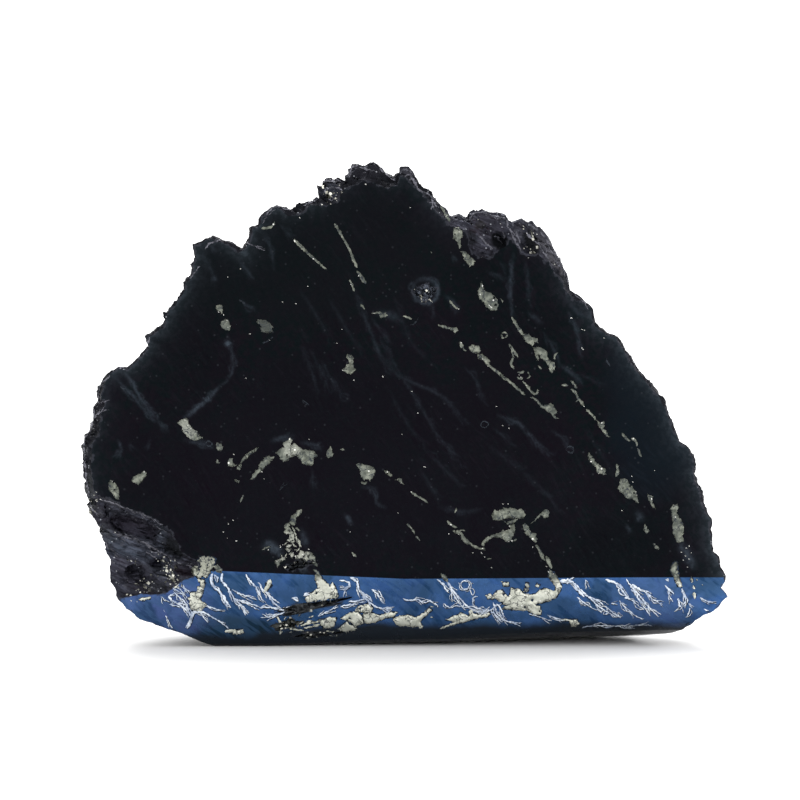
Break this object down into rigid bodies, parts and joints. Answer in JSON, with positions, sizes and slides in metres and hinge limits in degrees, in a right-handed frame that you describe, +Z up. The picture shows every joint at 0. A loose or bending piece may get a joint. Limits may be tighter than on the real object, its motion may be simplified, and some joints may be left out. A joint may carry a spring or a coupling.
{
  "type": "covellite mineral specimen",
  "caption": "Standing block of covellite with a polished dark front, a blue lower band, pyrite patches and veins, and a broken natural rim and back.",
  "frame": {"origin": "on the surface it rests on, under the middle of the whole stone's box", "axes": "+X along the polished face to the viewer's right, +Y from the polished face to the natural back, +Z up"},
  "size_m": [0.11, 0.0336, 0.0834],
  "materials": {
    "covellite": "polished"
  },
  "bodies": {
    "root": {"covellite": "covellite"}
  },
  "joints": []
}
